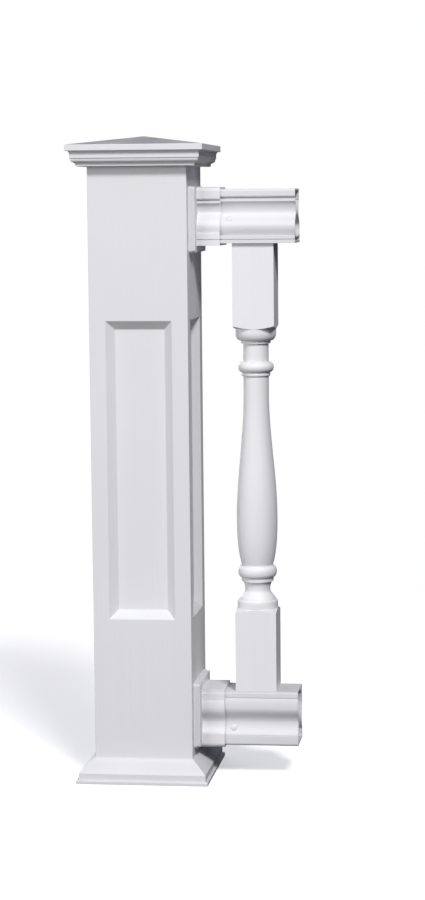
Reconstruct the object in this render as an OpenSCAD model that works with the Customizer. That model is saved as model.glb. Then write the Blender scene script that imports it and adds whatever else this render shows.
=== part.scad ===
// Porch newel post with a short length of balustrade.
//
// A hollow square sleeve with a recessed panel in each face stands on the deck.
// A cap slab with a low pyramid and a mitred bed moulding finish its top, and a
// mitred base moulding its foot. On the +X face two brackets hold a top and a
// bottom rail, both cut off square, with one turned baluster between them.
// Origin: centre of the sleeve at deck level. +Z up, +X along the rails.

/* [Newel sleeve] */
// Width of the square sleeve over its faces
post_w = 152.4; // [140:0.2:180]
// Height of the sleeve from the deck to the underside of the cap slab
post_h = 972.5; // [960:0.5:1200]
// Thickness of the boards that the sleeve is made of
board_t = 19; // [15:0.5:25]

/* [Recessed panels] */
// Flat margin beside each panel
stile_w = 25; // [18:0.5:32]
// Height of the panel's lower edge above the deck
panel_base = 255; // [200:1:310]
// Distance from the sleeve's top down to the panel's upper edge
panel_drop = 257.5; // [200:0.5:320]
// Width of the bevel around the panel
bevel_w = 13; // [8:0.5:18]
// Depth of the panel below the face
panel_depth = 12; // [4:0.5:14]

/* [Cap] */
// Thickness of the cap slab at its edge
slab_t = 9.5; // [6:0.5:20]
// Overhang of the cap slab beyond the sleeve's face
slab_out = 28.5; // [25:0.5:50]
// Rise of the pyramid above the slab's edge
pyramid_rise = 14; // [6:0.5:40]
// Height of the bed moulding under the slab
bed_h = 23; // [20:0.5:36]
// Projection of the bed moulding's upper face from the sleeve
bed_out = 22.4; // [18:0.2:24.6]

/* [Base moulding] */
// Height of the base moulding
base_h = 37.5; // [30:0.5:46]
// Projection of the base moulding's foot from the sleeve
base_out = 26.6; // [20:0.2:40]

/* [Rails] */
// Distance from the sleeve's top down to the top rail's upper surface
rail_drop = 58.5; // [40:0.5:120]
// Clear space between the deck and the bottom rail
rail_clear = 49.5; // [47:0.5:60]
// Length of both rails past the sleeve's face, to their square-cut ends
rail_run = 160; // [140:1:1000]
// Wall thickness of the hollow rails
rail_wall = 3; // [2:0.25:4]
// Height of the top rail
top_rail_h = 82.5; // [80:0.5:90]
// Half depth of the top rail across its lower fascia
fascia_u = 37.5; // [37:0.5:50]
// Half depth of the top rail across its nosing
nosing_u = 30.5; // [28:0.5:36]
// Height of the bottom rail
bottom_rail_h = 86; // [84:0.5:92]
// Half depth of the bottom rail across its upper edge
sill_u = 32; // [30:0.5:36]

/* [Brackets] */
// Length of a bracket out from the sleeve's face
bracket_run = 45; // [36:0.5:54]
// Thickness of the bracket's flange
flange_t = 9.5; // [7:0.5:14]
// Thickness of the flange's wider plate, against the sleeve
flange_step = 4.5; // [2:0.5:6]
// Width of the flange across the sleeve's face
flange_w = 119; // [104:0.5:140]
// How much taller the flange is than the taller rail
flange_over = 16; // [11:0.5:24]
// Rise of the top flange above the top rail
flange_rise = 5; // [4:0.5:8]
// Radius of the flange's corners
flange_r = 5; // [2:0.5:7]
// Wall thickness of the bracket's socket
socket_wall = 3; // [2:0.25:4]
// Clearance between a rail and its socket
socket_gap = 0.4; // [0.2:0.1:1]

/* [Baluster] */
// Width of the baluster's square blocks
baluster_w = 64; // [56:0.5:66]
// Distance from the sleeve's face to the baluster's axis
baluster_x = 94.5; // [84:0.5:110]
// Length of the lower square block, up to its corners
lower_block_h = 122; // [90:1:150]
// Length of the upper square block, down to its corners
upper_block_h = 126.5; // [90:1:150]
// Radius of the baluster's necks
neck_r = 19.9; // [16:0.1:22]
// How far the ring below the vase stays inside the block's faces
torus_in = 1.7; // [0.5:0.1:4]
// How far the bead below the upper block stays inside the block's faces
bead_in = 4.3; // [1:0.1:7]

/* [Screws] */
// Distance from a bracket's outer end to the rail screw beside it
screw_out = 13.3; // [8:0.1:15]
// Radius of a screw's domed head
screw_head_r = 5; // [3.5:0.1:6]
// Radius of a screw's shank
screw_shank_r = 2; // [1.5:0.1:2.5]
// Length of a screw's shank
screw_l = 12; // [8:0.5:13]

/* [Hidden] */

half_w = post_w / 2;
post_face = half_w;          // x of the face that carries the brackets
trim_gap = 0.2;              // between the sleeve and the mouldings around it
past = 1;                    // how far a cut runs past the face it opens
paint = "#dededf";

flange_h = max(top_rail_h, bottom_rail_h) + flange_over;
rail_start = post_face + flange_t + socket_gap;
rail_end = post_face + rail_run;
rail_top = post_h - rail_drop;
top_rail_z = rail_top - top_rail_h;
sill_z = rail_clear + bottom_rail_h;
screw_gap = 0.2;             // between a shank and its hole
screw_dome = 2.2;            // height of a screw's domed head
head_lift = 0.7;             // a flat head's rim rides on the hollow surface

// ---- outline helpers: lists of [across, up] points -------------------------

// Elliptical arc around c, with half axes rx and ry, from angle a to angle b
function oval(c, rx, ry, a, b, n = 10) =
    [for (i = [0:n]) let (t = a + (b - a) * i / n) c + [rx * cos(t), ry * sin(t)]];

// Curve that leaves p and reaches q upright, easing across in between: its
// point and its lean at the share t of its height, then all of it, grown outward
function ease_point(p, q, t) =
    [p.x + (q.x - p.x) * (1 - cos(180 * t)) / 2, p.y + (q.y - p.y) * t];
function ease_lean(p, q, t) =
    atan((p.x - q.x) * PI / 2 * sin(180 * t) / (q.y - p.y));
function ease(p, q, grow = 0, n = 14) =
    [for (i = [0:n]) let (t = i / n, lean = ease_lean(p, q, t))
        ease_point(p, q, t) + grow * [cos(lean), sin(lean)]];

// Rectangle around the origin with round corners
function rounded(w, h, r) =
    [for (side = [0:3], p = oval([0, 0], r, r, 90 * side, 90 * side + 90, 5))
        let (across = side == 0 || side == 3 ? 1 : -1, up = side < 2 ? 1 : -1)
        [across * (w / 2 - r) + p.x, up * (h / 2 - r) + p.y]];

// Chord from p to q with one full wave of height amp: swelling, then hollow
function wave(p, q, amp, n = 16) =
    let (along = (q - p) / norm(q - p), out = [along.y, -along.x])
    [for (i = [0:n]) let (t = i / n) p + (q - p) * t + out * amp * sin(360 * t)];

function reverse(list) = [for (i = [len(list) - 1:-1:0]) list[i]];
function mirrored(list) = reverse([for (p = list) [-p.x, p.y]]);

// Outline closed by its own mirror image across the vertical axis
module symmetric(half) {
    polygon(concat(half, mirrored(half)));
}

// Solid whose four sides all have the same outline, so its corners are mitred
module four_sided(half) {
    reach = 4 * post_w;
    intersection() {
        rotate([90, 0, 0])
            linear_extrude(height = reach, center = true)
                symmetric(half);
        rotate([90, 0, 90])
            linear_extrude(height = reach, center = true)
                symmetric(half);
    }
}

// A moulding that runs around the sleeve; profile gives projection and height
module mitred_ring(profile, z) {
    foot = profile[0].y;
    head = profile[len(profile) - 1].y;
    bore_w = post_w + 2 * trim_gap;
    translate([0, 0, z])
        difference() {
            four_sided([for (p = profile) [half_w + p.x, p.y]]);
            translate([-bore_w / 2, -bore_w / 2, foot - past])
                cube([bore_w, bore_w, head - foot + 2 * past]);
        }
}

// ---- newel -----------------------------------------------------------------

// Cutter for the recessed panel in the face at -Y
module panel_recess() {
    panel_half = half_w - stile_w;
    panel_top = post_h - panel_drop;
    face_outline = [
        [panel_half, -past], [panel_half, 0],
        [panel_half - bevel_w, panel_depth]
    ];
    translate([0, -half_w, 0])
        intersection() {
            translate([0, 0, panel_base - past])
                linear_extrude(height = panel_top - panel_base + 2 * past)
                    symmetric(face_outline);
            rotate([90, 0, 90])
                linear_extrude(height = post_w, center = true)
                    polygon([
                        [-past, panel_base], [0, panel_base],
                        [panel_depth, panel_base + bevel_w],
                        [panel_depth, panel_top - bevel_w],
                        [0, panel_top], [-past, panel_top]
                    ]);
        }
}

module newel_sleeve() {
    core_w = post_w - 2 * board_t;
    color(paint)
        difference() {
            translate([-half_w, -half_w, 0])
                cube([post_w, post_w, post_h]);
            translate([-core_w / 2, -core_w / 2, -past])
                cube([core_w, core_w, post_h + 2 * past]);
            for (side = [0:3])
                rotate(90 * side)
                    panel_recess();
        }
}

module cap_slab() {
    edge = half_w + slab_out;
    color(paint)
        translate([0, 0, post_h])
            four_sided([[edge, 0], [edge, slab_t], [0, slab_t + pyramid_rise]]);
}

// Bed moulding, from its foot up: fillet, cove, step, ovolo, step, face, chamfer
module cap_moulding() {
    fillet_h = 1.4;
    cove = [2.9, 4.2];
    ovolo = [2.6, 5];
    step = 1.2;
    rise = 0.8;
    chamfer = [1.5, 3.3];
    foot = bed_out - step - ovolo.x - step - cove.x;
    cove_top = -bed_h + fillet_h + cove.y;
    ovolo_foot = cove_top + rise;
    ovolo_top = ovolo_foot + ovolo.y;
    profile = concat(
        [[foot, -bed_h]],
        reverse(oval([foot + cove.x, cove_top - cove.y], cove.x, cove.y, 90, 180, 6)),
        oval([foot + cove.x + step, ovolo_top], ovolo.x, ovolo.y, -90, 0, 8),
        [[bed_out, ovolo_top + rise], [bed_out, -chamfer.y],
         [bed_out + chamfer.x, -chamfer.y / 3], [bed_out + chamfer.x, 0]]
    );
    color(paint)
        mitred_ring(profile, post_h);
}

// Base moulding, from the deck up: plinth, fillet, then a swelling and a hollow
module base_moulding() {
    plinth_h = 5.8;
    plinth_r = 1.6;
    fillet = [base_out - 3.6, 16];
    lip = 1.2;
    sway = 0.3;
    profile = concat(
        [[base_out, 0]],
        oval([base_out - plinth_r, plinth_h - plinth_r], plinth_r, plinth_r, 0, 90, 4),
        [[fillet.x, plinth_h], fillet],
        wave([fillet.x - lip, fillet.y + lip], [lip, base_h - lip], sway),
        [[lip, base_h]]
    );
    color(paint)
        mitred_ring(profile, 0);
}

// ---- rails -----------------------------------------------------------------
// Half outlines, [out from the rail's middle, up from its underside]. grow
// moves the whole outline outward: positive for a socket, negative for a hollow.
// grooves adds the narrow lines, which only outer surfaces have.

// Top rail: fascia, groove, strip, a roll that swells out over it and eases in
// to the waist, cove, bead, quirk and nosing
strip_v = 6.5;
ledge_v = 12;
swell = [35.5, 25];
swell_r = 18;
waist = [20.4, top_rail_h - 34.5];
cove_r = 22;
cove_turn = 45;
groove = [1.8, 1.2];
quirk = 1;
lip = 0.2;

function top_rail_half(grow = 0, grooves = false) =
    let (
        outer_u = fascia_u + grow,
        bead_u = nosing_u - 3.5 + grow,
        nosing_v = top_rail_h - 13 - grow,
        edge_r = 3.2,
        top_r = 3.5 + grow,
        roll_r = swell_r + grow,
        tuck = asin(min(1, (swell.y - ledge_v - lip - grow) / roll_r)),
        under = oval(swell - [swell_r, 0], roll_r, roll_r, -tuck, 0, 8),
        throat_r = cove_r - grow,
        throat = oval(waist + [cove_r, 0], throat_r, throat_r, 177, 180 - cove_turn, 8),
        throat_v = throat[len(throat) - 1].y
    )
    concat(
        [[outer_u, -grow], [outer_u, strip_v - groove.y]],
        grooves ? [[outer_u - groove.x, strip_v - groove.y], [outer_u - groove.x, strip_v],
                   [outer_u, strip_v]] : [],
        [[outer_u, ledge_v + grow], [under[0].x, ledge_v + grow]],
        under,
        ease(swell + [0, 1], waist, grow),
        throat,
        [[bead_u, throat_v]],
        grooves ? [[bead_u, nosing_v - quirk], [bead_u - quirk, nosing_v - quirk],
                   [bead_u - quirk, nosing_v]] : [[bead_u, nosing_v]],
        oval([nosing_u + grow - edge_r, nosing_v + edge_r], edge_r, edge_r, -90, 0, 5),
        oval([nosing_u + grow - top_r, top_rail_h + grow - top_r], top_r, top_r, 0, 90, 6)
    );

// Bottom rail: rounded band, hollow, a swelling that rolls in under the sill
band = [34, 15];
hollow = [25, 34.7];
hollow_r = 22;
ovolo = [5.5, 19];
brow = [sill_u + 2.5, bottom_rail_h - 26];
sill_v = bottom_rail_h - 10;

function bottom_rail_half(grow = 0) =
    let (
        band_r = 4 + grow,
        flute_r = hollow_r - grow,
        flute = oval(hollow + [hollow_r, 0], flute_r, flute_r, 232, 180, 8),
        brow_r = ovolo + [grow, grow],
        turn = asin(min(1, (sill_v - 1 - grow - brow.y) / brow_r.y)),
        over = oval(brow - [ovolo.x, 0], brow_r.x, brow_r.y, 0, turn, 8),
        tuck = over[len(over) - 1] + [min(grow, 0) - 0.25, 0]
    )
    concat(
        oval([band.x + grow - band_r, band_r - grow], band_r, band_r, -90, 0, 6),
        [[band.x + grow, band.y + grow], [flute[0].x, band.y + grow]],
        flute,
        ease(hollow + [0, 1], brow - [0, 1], grow),
        over,
        [tuck, [tuck.x, sill_v - grow]],
        [[sill_u + 1 + grow, sill_v - grow], [sill_u + 1 + grow, bottom_rail_h - 3.5],
         [sill_u + grow, bottom_rail_h - 3], [sill_u + grow, bottom_rail_h + grow]]
    );

// Bar of the given half outline along +X, from x0 to x1, underside at z
module bar(half, x0, x1, z) {
    translate([x0, 0, z])
        rotate([90, 0, 90])
            linear_extrude(height = x1 - x0)
                symmetric(half);
}

// Where a screw sits in each rail: out from its middle, up, and its upward tilt
top_screw_t = (top_rail_h - 45 - swell.y) / (waist.y - swell.y);
top_screw_at = ease_point(swell, waist, top_screw_t);
top_screw_tilt = ease_lean(swell, waist, top_screw_t);
bottom_screw_tilt = asin((hollow.y - 26.5) / hollow_r);
bottom_screw_at = hollow + hollow_r * [1 - cos(bottom_screw_tilt), -sin(bottom_screw_tilt)];

// Moves its children from the origin to a screw's seat, +Z pointing outward
module at_screw(seat, rail_z, tilt) {
    translate([post_face + bracket_run + screw_out, -seat.x, rail_z + seat.y])
        rotate([90 - tilt, 0, 0])
            children();
}

module at_top_screw() {
    at_screw(top_screw_at, top_rail_z, top_screw_tilt)
        children();
}

module at_bottom_screw() {
    at_screw(bottom_screw_at, rail_clear, bottom_screw_tilt)
        children();
}

// Hole for a screw's shank through the rail's front wall only
module shank_hole() {
    hole_l = 2 * rail_wall + past;
    translate([0, 0, -hole_l])
        cylinder(h = hole_l + head_lift + past, r = screw_shank_r + screw_gap, $fn = 32);
}

module top_rail() {
    color(paint)
        difference() {
            bar(top_rail_half(grooves = true), rail_start, rail_end, top_rail_z);
            bar(top_rail_half(-rail_wall), rail_start - past, rail_end + past, top_rail_z);
            at_top_screw()
                shank_hole();
        }
}

module bottom_rail() {
    color(paint)
        difference() {
            bar(bottom_rail_half(), rail_start, rail_end, rail_clear);
            bar(bottom_rail_half(-rail_wall), rail_start - past, rail_end + past, rail_clear);
            at_bottom_screw()
                shank_hole();
        }
}

// ---- brackets --------------------------------------------------------------

// Flange against the sleeve, a plate on a slightly wider plate, foot at z
module flange(z) {
    inset = 1.4;
    translate([post_face, 0, z + flange_h / 2])
        rotate([90, 0, 90]) {
            linear_extrude(height = flange_step)
                polygon(rounded(flange_w, flange_h, flange_r));
            linear_extrude(height = flange_t)
                polygon(rounded(flange_w - 2 * inset, flange_h - 2 * inset, flange_r - inset));
        }
}

// Flange with a socket that sleeves the end of a rail
module bracket(outer, inner, rail_z, flange_z) {
    socket_start = post_face + flange_t;
    color(paint)
        difference() {
            union() {
                flange(flange_z);
                bar(outer, post_face + flange_t / 2, post_face + bracket_run, rail_z);
            }
            bar(inner, socket_start, post_face + bracket_run + past, rail_z);
        }
}

module top_bracket() {
    bracket(
        top_rail_half(socket_gap + socket_wall, true), top_rail_half(socket_gap),
        top_rail_z, rail_top + flange_rise - flange_h
    );
}

module bottom_bracket() {
    bracket(
        bottom_rail_half(socket_gap + socket_wall), bottom_rail_half(socket_gap),
        rail_clear, rail_clear
    );
}

// ---- baluster --------------------------------------------------------------

// Turned outline from the lower block's corners up to the upper block's
// corners; whatever height the rings leave over goes into the vase's taper
shoulder_h = 5.5;
corner_r = baluster_w / sqrt(2) + past;
belly_r = baluster_w / 2 - 0.2;
drum_h = 7;
drum_round = [1.6, 6];
cup_h = 16;
trumpet_h = 12.5;
fillet_h = 5;
torus_h = 18;
vase_low = [14, 76];
vase_low_h = 68;
long_neck_h = 26.5;
ring_r = neck_r + 2.6;
ring_h = 5.5;
bead_h = 17;
short_neck_h = 28.5;
collar_r = neck_r + 3.2;
collar_h = 4;
torus_r = baluster_w / 2 - torus_in;
fillet_r = (neck_r + torus_r) / 2;
bead_r = baluster_w / 2 - bead_in;
crown = [belly_r - collar_r - 0.4, 12.5];

function turned_outline(h) =
    let (
        drum_z = shoulder_h + drum_h,
        cup_z = drum_z + drum_round.y,
        waist_z = cup_z + cup_h,
        fillet_z = waist_z + 2 + trumpet_h,
        torus_z = fillet_z + fillet_h,
        vase_z = torus_z + torus_h + 1,
        belly_z = vase_z + vase_low_h,
        crown_z = h - shoulder_h - crown.y - 6,
        collar_z = crown_z - collar_h,
        bead_z = collar_z - short_neck_h - bead_h,
        ring_z = bead_z - ring_h,
        neck_z = ring_z - long_neck_h,
        vase_angle = asin(vase_low_h / vase_low.y)
    )
    concat(
        [[corner_r, 0], [belly_r, shoulder_h]],
        oval([belly_r - drum_round.x, drum_z], drum_round.x, drum_round.y, 0, 80, 5),
        ease([belly_r - drum_round.x - 1.8, cup_z], [neck_r, waist_z], n = 10),
        reverse(oval([fillet_r, waist_z + 2], fillet_r - neck_r, trumpet_h - 1, 100, 180, 8)),
        [[fillet_r, fillet_z - 1], [fillet_r, torus_z]],
        oval([fillet_r, torus_z + torus_h / 2], torus_r - fillet_r, torus_h / 2, -90, 90, 12),
        [[fillet_r, vase_z]],
        oval([belly_r - vase_low.x, belly_z], vase_low.x, vase_low.y, -vase_angle, 0, 12),
        ease([belly_r, belly_z + 5], [neck_r, neck_z], n = 20),
        [[neck_r, ring_z]],
        oval([ring_r - 1.5, ring_z + ring_h / 2], 1.5, ring_h / 2, -80, 80, 6),
        oval([neck_r, bead_z + bead_h / 2], bead_r - neck_r, bead_h / 2, -80, 90, 12),
        [[neck_r, collar_z], [collar_r, collar_z], [collar_r, crown_z]],
        oval([belly_r - crown.x, crown_z + crown.y], crown.x, crown.y, -85, 0, 8),
        [[belly_r, h - shoulder_h], [corner_r, h]]
    );

module baluster() {
    length = top_rail_z - sill_z;
    turned_h = length - lower_block_h - upper_block_h;
    outline = concat(
        [[0, -lower_block_h - past], [corner_r, -lower_block_h - past]],
        turned_outline(turned_h),
        [[corner_r, turned_h + upper_block_h + past], [0, turned_h + upper_block_h + past]]
    );
    color(paint)
        translate([post_face + baluster_x, 0, sill_z])
            intersection() {
                translate([-baluster_w / 2, -baluster_w / 2, 0])
                    cube([baluster_w, baluster_w, length]);
                translate([0, 0, lower_block_h])
                    rotate_extrude($fn = 96)
                        polygon(outline);
            }
}

// ---- screws ----------------------------------------------------------------

// Domed head with its underside at z = 0 and its shank below, and a square
// recess turned by the given angle
module rail_screw(turn = 0) {
    recess = 2.4;
    dome_r = (screw_head_r * screw_head_r + screw_dome * screw_dome) / (2 * screw_dome);
    color(paint)
        translate([0, 0, head_lift])
            difference() {
                union() {
                    intersection() {
                        translate([0, 0, screw_dome - dome_r])
                            sphere(r = dome_r, $fn = 64);
                        cylinder(h = screw_dome + past, r = screw_head_r, $fn = 64);
                    }
                    translate([0, 0, -screw_l])
                        cylinder(h = screw_l + past, r = screw_shank_r, $fn = 32);
                }
                rotate(turn)
                    translate([-recess / 2, -recess / 2, screw_dome - 1.1])
                        cube([recess, recess, screw_dome]);
            }
}

module top_screw() {
    at_top_screw()
        rail_screw();
}

module bottom_screw() {
    at_bottom_screw()
        rail_screw(turn = 45);
}

newel_sleeve();
cap_slab();
cap_moulding();
base_moulding();
top_bracket();
bottom_bracket();
top_rail();
bottom_rail();
baluster();
top_screw();
bottom_screw();
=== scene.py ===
"""Looks of the porch newel post: finishes, softened edges, light and camera.

Everything is in metres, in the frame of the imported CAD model: +Z up from the
deck, +X along the rails, -Y towards the viewer.
"""

import math

import bpy
from mathutils import Matrix, Vector


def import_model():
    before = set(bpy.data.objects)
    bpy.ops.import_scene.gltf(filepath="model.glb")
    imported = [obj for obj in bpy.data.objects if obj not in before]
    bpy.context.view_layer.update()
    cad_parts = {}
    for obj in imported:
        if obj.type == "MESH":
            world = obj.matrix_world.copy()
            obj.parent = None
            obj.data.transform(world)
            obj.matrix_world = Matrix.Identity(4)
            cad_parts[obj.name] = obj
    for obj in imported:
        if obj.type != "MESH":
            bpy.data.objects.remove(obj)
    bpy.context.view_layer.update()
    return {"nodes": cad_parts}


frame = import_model()
nodes = frame["nodes"]


# ---- node helpers ------------------------------------------------------------

class Tree:
    """Short calls for building one node tree."""

    def __init__(self, owner):
        owner.use_nodes = True
        self.tree = owner.node_tree
        self.tree.nodes.clear()

    def add(self, kind, **settings):
        node = self.tree.nodes.new(kind)
        for name, value in settings.items():
            setattr(node, name, value)
        return node

    def link(self, source, target):
        self.tree.links.new(source, target)

    def feed(self, socket, value):
        """Sets a socket to a number or colour, or links another socket to it."""
        if isinstance(value, bpy.types.NodeSocket):
            self.link(value, socket)
        else:
            socket.default_value = value

    def math(self, operation, *values):
        node = self.add("ShaderNodeMath", operation=operation)
        for socket, value in zip(node.inputs, values):
            self.feed(socket, value)
        return node.outputs[0]

    def noise(self, vector, scale, detail, roughness=0.5):
        node = self.add("ShaderNodeTexNoise")
        self.link(vector, node.inputs["Vector"])
        node.inputs["Scale"].default_value = scale
        node.inputs["Detail"].default_value = detail
        node.inputs["Roughness"].default_value = roughness
        return node.outputs["Fac"]

    def stretch(self, vector, scale):
        node = self.add("ShaderNodeMapping")
        self.link(vector, node.inputs["Vector"])
        node.inputs["Scale"].default_value = scale
        return node.outputs["Vector"]

    def span(self, value, from_low, from_high, to_low, to_high, smooth=False):
        """Maps a value from one range to another, held at the ends."""
        kind = "SMOOTHSTEP" if smooth else "LINEAR"
        node = self.add("ShaderNodeMapRange", interpolation_type=kind)
        ends = (value, from_low, from_high, to_low, to_high)
        for socket, end in zip(node.inputs, ends):
            self.feed(socket, end)
        return node.outputs[0]

    def blend(self, share, first, second):
        """Mixes two colours, by the mix node's colour sockets 6, 7 and 2."""
        node = self.add("ShaderNodeMix", data_type="RGBA")
        self.feed(node.inputs["Factor"], share)
        self.feed(node.inputs[6], first)
        self.feed(node.inputs[7], second)
        return node.outputs[2]

    def bump(self, height, distance, strength, normal=None):
        node = self.add("ShaderNodeBump")
        node.inputs["Strength"].default_value = strength
        node.inputs["Distance"].default_value = distance
        self.link(height, node.inputs["Height"])
        if normal is not None:
            self.link(normal, node.inputs["Normal"])
        return node.outputs["Normal"]


# ---- materials ---------------------------------------------------------------

# Red, green and blue of fresh and of aged plastic, as shares of how white it is
FRESH = (1, 1.002, 1.008)
AGED = (0.975, 0.97, 0.955)
# Grey that upward faces are darkened towards: partly dust, partly painted shade on tops
DUST_AND_TOP_SHADE = (0.36, 0.36, 0.38, 1)
SPECULAR = 0.35

# Noise scales per metre: broad tone, dust and painted shade on tops, and the mould's orange peel
CLOUD_SCALE = 5
DUST_AND_SHADE_SCALE = 26
PEEL_SCALE = 900
# Heights of the streaks and the peel, in metres
STREAK_HEIGHT = 0.0004
PEEL_HEIGHT = 0.0001
# A face catches dust and painted shade from the first to the second upward slope
DUST_AND_SHADE_CATCH = (0.55, 0.98)
# Dust and the painted shade on tops lie in patches: noise over the first two values gives shares from
# the third to the fourth
DUST_AND_SHADE_PATCHES = (0.3, 0.7, 0.6, 1)
# How much rougher the settled dust makes the surface
DUST_ROUGHNESS = 0.2
# The noise over which the plastic goes from fresh to aged, and how much of it the streaks add
AGED_SPAN = (0.55, 0.95)
STREAK_SHARE = 0.5
# The noise over which the roughness swings, and how far it swings down and up
SHINE_SPAN = (0.7, 1.3)
SMOOTHER = 0.05
ROUGHER = 0.06


def vinyl(name, white, grain, grain_bump, peel_bump, rough, dust_and_shade_share):
    """White plastic: faint drawn streaks along grain, moulded peel, a little dust and painted shade on
    top.
    """
    fresh = tuple(white * share for share in FRESH) + (1,)
    aged = tuple(white * share for share in AGED) + (1,)
    material = bpy.data.materials.new(name)
    t = Tree(material)
    place = t.add("ShaderNodeTexCoord").outputs["Object"]
    facing = t.add("ShaderNodeSeparateXYZ")
    t.link(t.add("ShaderNodeNewGeometry").outputs["Normal"], facing.inputs[0])

    cloud = t.noise(place, CLOUD_SCALE, detail=4)
    streak = t.noise(t.stretch(place, grain), 1, detail=3, roughness=0.6)
    peel = t.noise(place, PEEL_SCALE, detail=2)
    tone = t.span(t.math("ADD", cloud, t.math("MULTIPLY", streak, STREAK_SHARE)), *AGED_SPAN, 0, 1)
    upward = t.span(facing.outputs["Z"], *DUST_AND_SHADE_CATCH, 0, 1, smooth=True)
    patchy = t.span(t.noise(place, DUST_AND_SHADE_SCALE, detail=5), *DUST_AND_SHADE_PATCHES)
    dust_and_shade_mask = t.math("MULTIPLY", upward, patchy)
    colour = t.blend(tone, fresh, aged)
    # Upward faces darkened in patches: partly dust, partly painted shade on tops
    colour = t.blend(t.math("MULTIPLY", dust_and_shade_mask, dust_and_shade_share), colour, DUST_AND_TOP_SHADE)

    shine = t.span(t.math("ADD", cloud, streak), *SHINE_SPAN, rough - SMOOTHER, rough + ROUGHER)
    shine = t.math("ADD", shine, t.math("MULTIPLY", dust_and_shade_mask, DUST_ROUGHNESS))
    normal = t.bump(streak, STREAK_HEIGHT, grain_bump)
    normal = t.bump(peel, PEEL_HEIGHT, peel_bump, normal)

    surface = t.add("ShaderNodeBsdfPrincipled")
    surface.inputs["Specular IOR Level"].default_value = SPECULAR
    t.link(colour, surface.inputs["Base Color"])
    t.link(shine, surface.inputs["Roughness"])
    t.link(normal, surface.inputs["Normal"])
    output = t.add("ShaderNodeOutputMaterial")
    t.link(surface.outputs[0], output.inputs["Surface"])
    return material


# Streak scales along X, Y and Z: fine across the streaks, long along them
ALONG_Z = (260, 260, 2.5)
ALONG_X = (2.5, 260, 260)
ROUND = (90, 90, 60)

# Material name, white, streaks, streak bump, peel bump, roughness, dust and painted top shade
FINISHES = {
    "sleeve": vinyl("sleeve_board", 0.79, ALONG_Z, 0.25, 0.15, 0.5, 0.3),
    # The cap's full share darkens its pyramid top: painted shade more than dust
    "cap": vinyl("cap_dust_and_painted_shade", 0.79, ROUND, 0.08, 0.15, 0.52, 1.0),
    "trim": vinyl("trim_moulding", 0.78, ROUND, 0.08, 0.15, 0.48, 0.3),
    "bracket": vinyl("bracket_plastic", 0.83, ROUND, 0.05, 0.25, 0.55, 0.3),
    "rail": vinyl("rail_extrusion", 0.755, ALONG_X, 0.12, 0.05, 0.6, 0.3),
    "baluster": vinyl("baluster_plastic", 0.85, ALONG_Z, 0.06, 0.2, 0.5, 0.2),
    "screw": vinyl("painted_screw", 0.78, ROUND, 0.1, 0.5, 0.45, 0.1),
}

# Each node's slot, finish, and radius of its softened edges
LOOKS = {
    "newel_sleeve": ("sleeve", "sleeve", 0.0009),
    "cap_slab": ("trim", "cap", 0.0009),
    "cap_moulding": ("trim", "trim", 0.0004),
    "base_moulding": ("trim", "trim", 0.0004),
    "top_bracket": ("bracket", "bracket", 0.0005),
    "bottom_bracket": ("bracket", "bracket", 0.0005),
    "top_rail": ("rail", "rail", 0.0003),
    "bottom_rail": ("rail", "rail", 0.0003),
    "baluster": ("baluster", "baluster", 0.0012),
    "top_screw": ("screw", "screw", 0.0002),
    "bottom_screw": ("screw", "screw", 0.0002),
}


# ---- softened edges ----------------------------------------------------------

def smooth_group():
    """Geometry nodes that turn smooth shading on for every face."""
    group = bpy.data.node_groups.new("smooth_faces", "GeometryNodeTree")
    for way in ("INPUT", "OUTPUT"):
        group.interface.new_socket("Geometry", in_out=way, socket_type="NodeSocketGeometry")
    start = group.nodes.new("NodeGroupInput")
    smooth = group.nodes.new("GeometryNodeSetShadeSmooth")
    end = group.nodes.new("NodeGroupOutput")
    group.links.new(start.outputs[0], smooth.inputs[0])
    group.links.new(smooth.outputs[0], end.inputs[0])
    return group


SMOOTH = smooth_group()
WELD_GAP = 1e-6
# Facets that turn less than the first angle are one face; edges past the second are rounded
FLAT_DEGREES = 0.4
SHARP_DEGREES = 28
EDGE_STEPS = 3
FACE_WEIGHT = 60


def soften(obj, radius):
    """Joins the mesh's facets into whole faces and rounds its sharp edges."""
    obj.modifiers.new("smooth", "NODES").node_group = SMOOTH
    weld = obj.modifiers.new("weld", "WELD")
    weld.merge_threshold = WELD_GAP
    whole = obj.modifiers.new("whole_faces", "DECIMATE")
    whole.decimate_type = "DISSOLVE"
    whole.angle_limit = math.radians(FLAT_DEGREES)
    bevel = obj.modifiers.new("round_edges", "BEVEL")
    bevel.width = radius
    bevel.segments = EDGE_STEPS
    bevel.limit_method = "ANGLE"
    bevel.angle_limit = math.radians(SHARP_DEGREES)
    normals = obj.modifiers.new("normals", "WEIGHTED_NORMAL")
    normals.weight = FACE_WEIGHT


for name, obj in nodes.items():
    slot, finish, edge_radius = LOOKS[name]
    obj.data.materials.clear()
    obj.data.materials.append(FINISHES[finish])
    soften(obj, edge_radius)


# ---- floor, light and camera -------------------------------------------------

FLOOR_RADIUS = 4
FLOOR_SIDES = 96
# The floor fades away between these distances from the newel's axis
FLOOR_FADE = (0.5, 2.6)
PAPER = (0.9, 0.9, 0.9, 1)
PAPER_GLOW = (0.5, 0.5, 0.5, 1)


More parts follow.
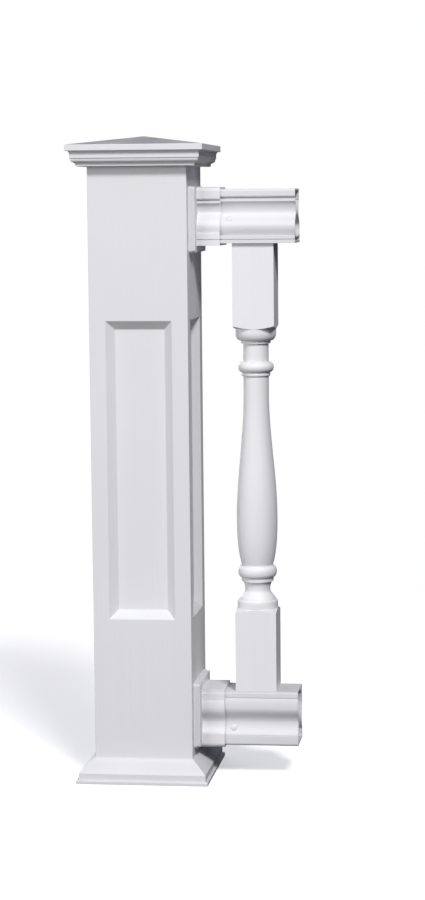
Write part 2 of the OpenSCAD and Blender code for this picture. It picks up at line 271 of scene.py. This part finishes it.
def floor():
    """White paper disc that glows a little, so that only soft shadows show on it."""
    bpy.ops.mesh.primitive_circle_add(vertices=FLOOR_SIDES, radius=FLOOR_RADIUS, fill_type="NGON")
    disc = bpy.context.object
    disc.name = "floor"
    disc.visible_diffuse = False
    disc.visible_glossy = False
    material = bpy.data.materials.new("floor_paper")
    t = Tree(material)
    place = t.add("ShaderNodeTexCoord").outputs["Object"]
    reach = t.add("ShaderNodeVectorMath", operation="LENGTH")
    t.link(place, reach.inputs[0])
    fade = t.span(reach.outputs["Value"], *FLOOR_FADE, 0, 1, smooth=True)
    paper = t.add("ShaderNodeBsdfDiffuse")
    paper.inputs["Color"].default_value = PAPER
    glow = t.add("ShaderNodeEmission")
    glow.inputs["Color"].default_value = PAPER_GLOW
    both = t.add("ShaderNodeAddShader")
    t.link(paper.outputs[0], both.inputs[0])
    t.link(glow.outputs[0], both.inputs[1])
    gone = t.add("ShaderNodeBsdfTransparent")
    mixed = t.add("ShaderNodeMixShader")
    t.link(fade, mixed.inputs[0])
    t.link(both.outputs[0], mixed.inputs[1])
    t.link(gone.outputs[0], mixed.inputs[2])
    output = t.add("ShaderNodeOutputMaterial")
    t.link(mixed.outputs[0], output.inputs["Surface"])
    disc.data.materials.append(material)


# Light of the surroundings: below the horizon, and above it at the back and at the front
BELOW = (0.03, 0.032, 0.04, 1)
BACK = (0.09, 0.095, 0.125, 1)
FRONT = (0.345, 0.345, 0.37, 1)
WHITE = (1, 1, 1, 1)
# Directions' Z from below to above the horizon, and Y from the back to the front
HORIZON = (-0.12, 0.4)
BACK_TO_FRONT = (0.25, -0.7)


def world():
    """Dim room, brighter above and at the viewer's side, but plain white to the camera."""
    made = bpy.data.worlds.new("studio")
    bpy.context.scene.world = made
    t = Tree(made)
    place = t.add("ShaderNodeTexCoord").outputs["Generated"]
    split = t.add("ShaderNodeSeparateXYZ")
    t.link(place, split.inputs[0])
    height = t.span(split.outputs["Z"], *HORIZON, 0, 1, smooth=True)
    ahead = t.span(split.outputs["Y"], *BACK_TO_FRONT, 0, 1, smooth=True)
    upper = t.blend(ahead, BACK, FRONT)
    fill = t.blend(height, BELOW, upper)
    seen = t.blend(t.add("ShaderNodeLightPath").outputs["Is Camera Ray"], fill, WHITE)
    background = t.add("ShaderNodeBackground")
    t.link(seen, background.inputs["Color"])
    output = t.add("ShaderNodeOutputWorld")
    t.link(background.outputs[0], output.inputs["Surface"])


# What the lights point at: half way up, a little towards the baluster
LIGHT_AIM = Vector((0.05, 0, 0.5))
LIGHT_DISTANCE = 8


def area_light(name, azimuth, elevation, size, watts, colour):
    """Round soft box; azimuth turns from straight in front (-Y) towards +X."""
    light = bpy.data.lights.new(name, "AREA")
    light.shape = "DISK"
    light.size = size
    light.energy = watts
    light.color = colour
    obj = bpy.data.objects.new(name, light)
    bpy.context.scene.collection.objects.link(obj)
    around = math.radians(azimuth)
    height = math.radians(elevation)
    level = Vector((math.sin(around), -math.cos(around), 0))
    direction = level * math.cos(height) + Vector((0, 0, math.sin(height)))
    obj.location = LIGHT_AIM + direction * LIGHT_DISTANCE
    obj.rotation_mode = "QUATERNION"
    obj.rotation_quaternion = direction.to_track_quat("Z", "Y")


# Where the camera stands, its turns to the left, down and about its own axis, its lens and
# sensor width in millimetres, and its sideways shift in sensor widths
CAMERA_AT = (0.5936, -3.5660, 0.8955)
YAW_DEGREES = 6.518
PITCH_DEGREES = 6.122
ROLL_DEGREES = -0.435
LENS_MM = 92.9
SENSOR_MM = 36
SHIFT = -0.06


def camera():
    yaw = math.radians(YAW_DEGREES)
    pitch = math.radians(PITCH_DEGREES)
    roll = math.radians(ROLL_DEGREES)
    ahead = Vector((-math.sin(yaw) * math.cos(pitch), math.cos(yaw) * math.cos(pitch), -math.sin(pitch)))
    level = Vector((math.cos(yaw), math.sin(yaw), 0))
    right = level * math.cos(roll) + level.cross(ahead) * math.sin(roll)
    up = right.cross(ahead)
    data = bpy.data.cameras.new("camera")
    data.lens = LENS_MM
    data.sensor_width = SENSOR_MM
    data.shift_x = SHIFT
    obj = bpy.data.objects.new("camera", data)
    bpy.context.scene.collection.objects.link(obj)
    turn = Matrix((right, up, -ahead)).transposed()
    obj.matrix_world = Matrix.Translation(CAMERA_AT) @ turn.to_4x4()
    bpy.context.scene.camera = obj


floor()
world()
area_light("key", 27, 43.5, 2, 480, (0.99, 0.985, 1.015))
area_light("fill", -36, 8, 5, 250, (0.98, 0.98, 1.02))
area_light("back", 207, 6, 4, 220, (0.98, 0.98, 1.02))
camera()
bpy.context.scene.view_settings.view_transform = "Standard"
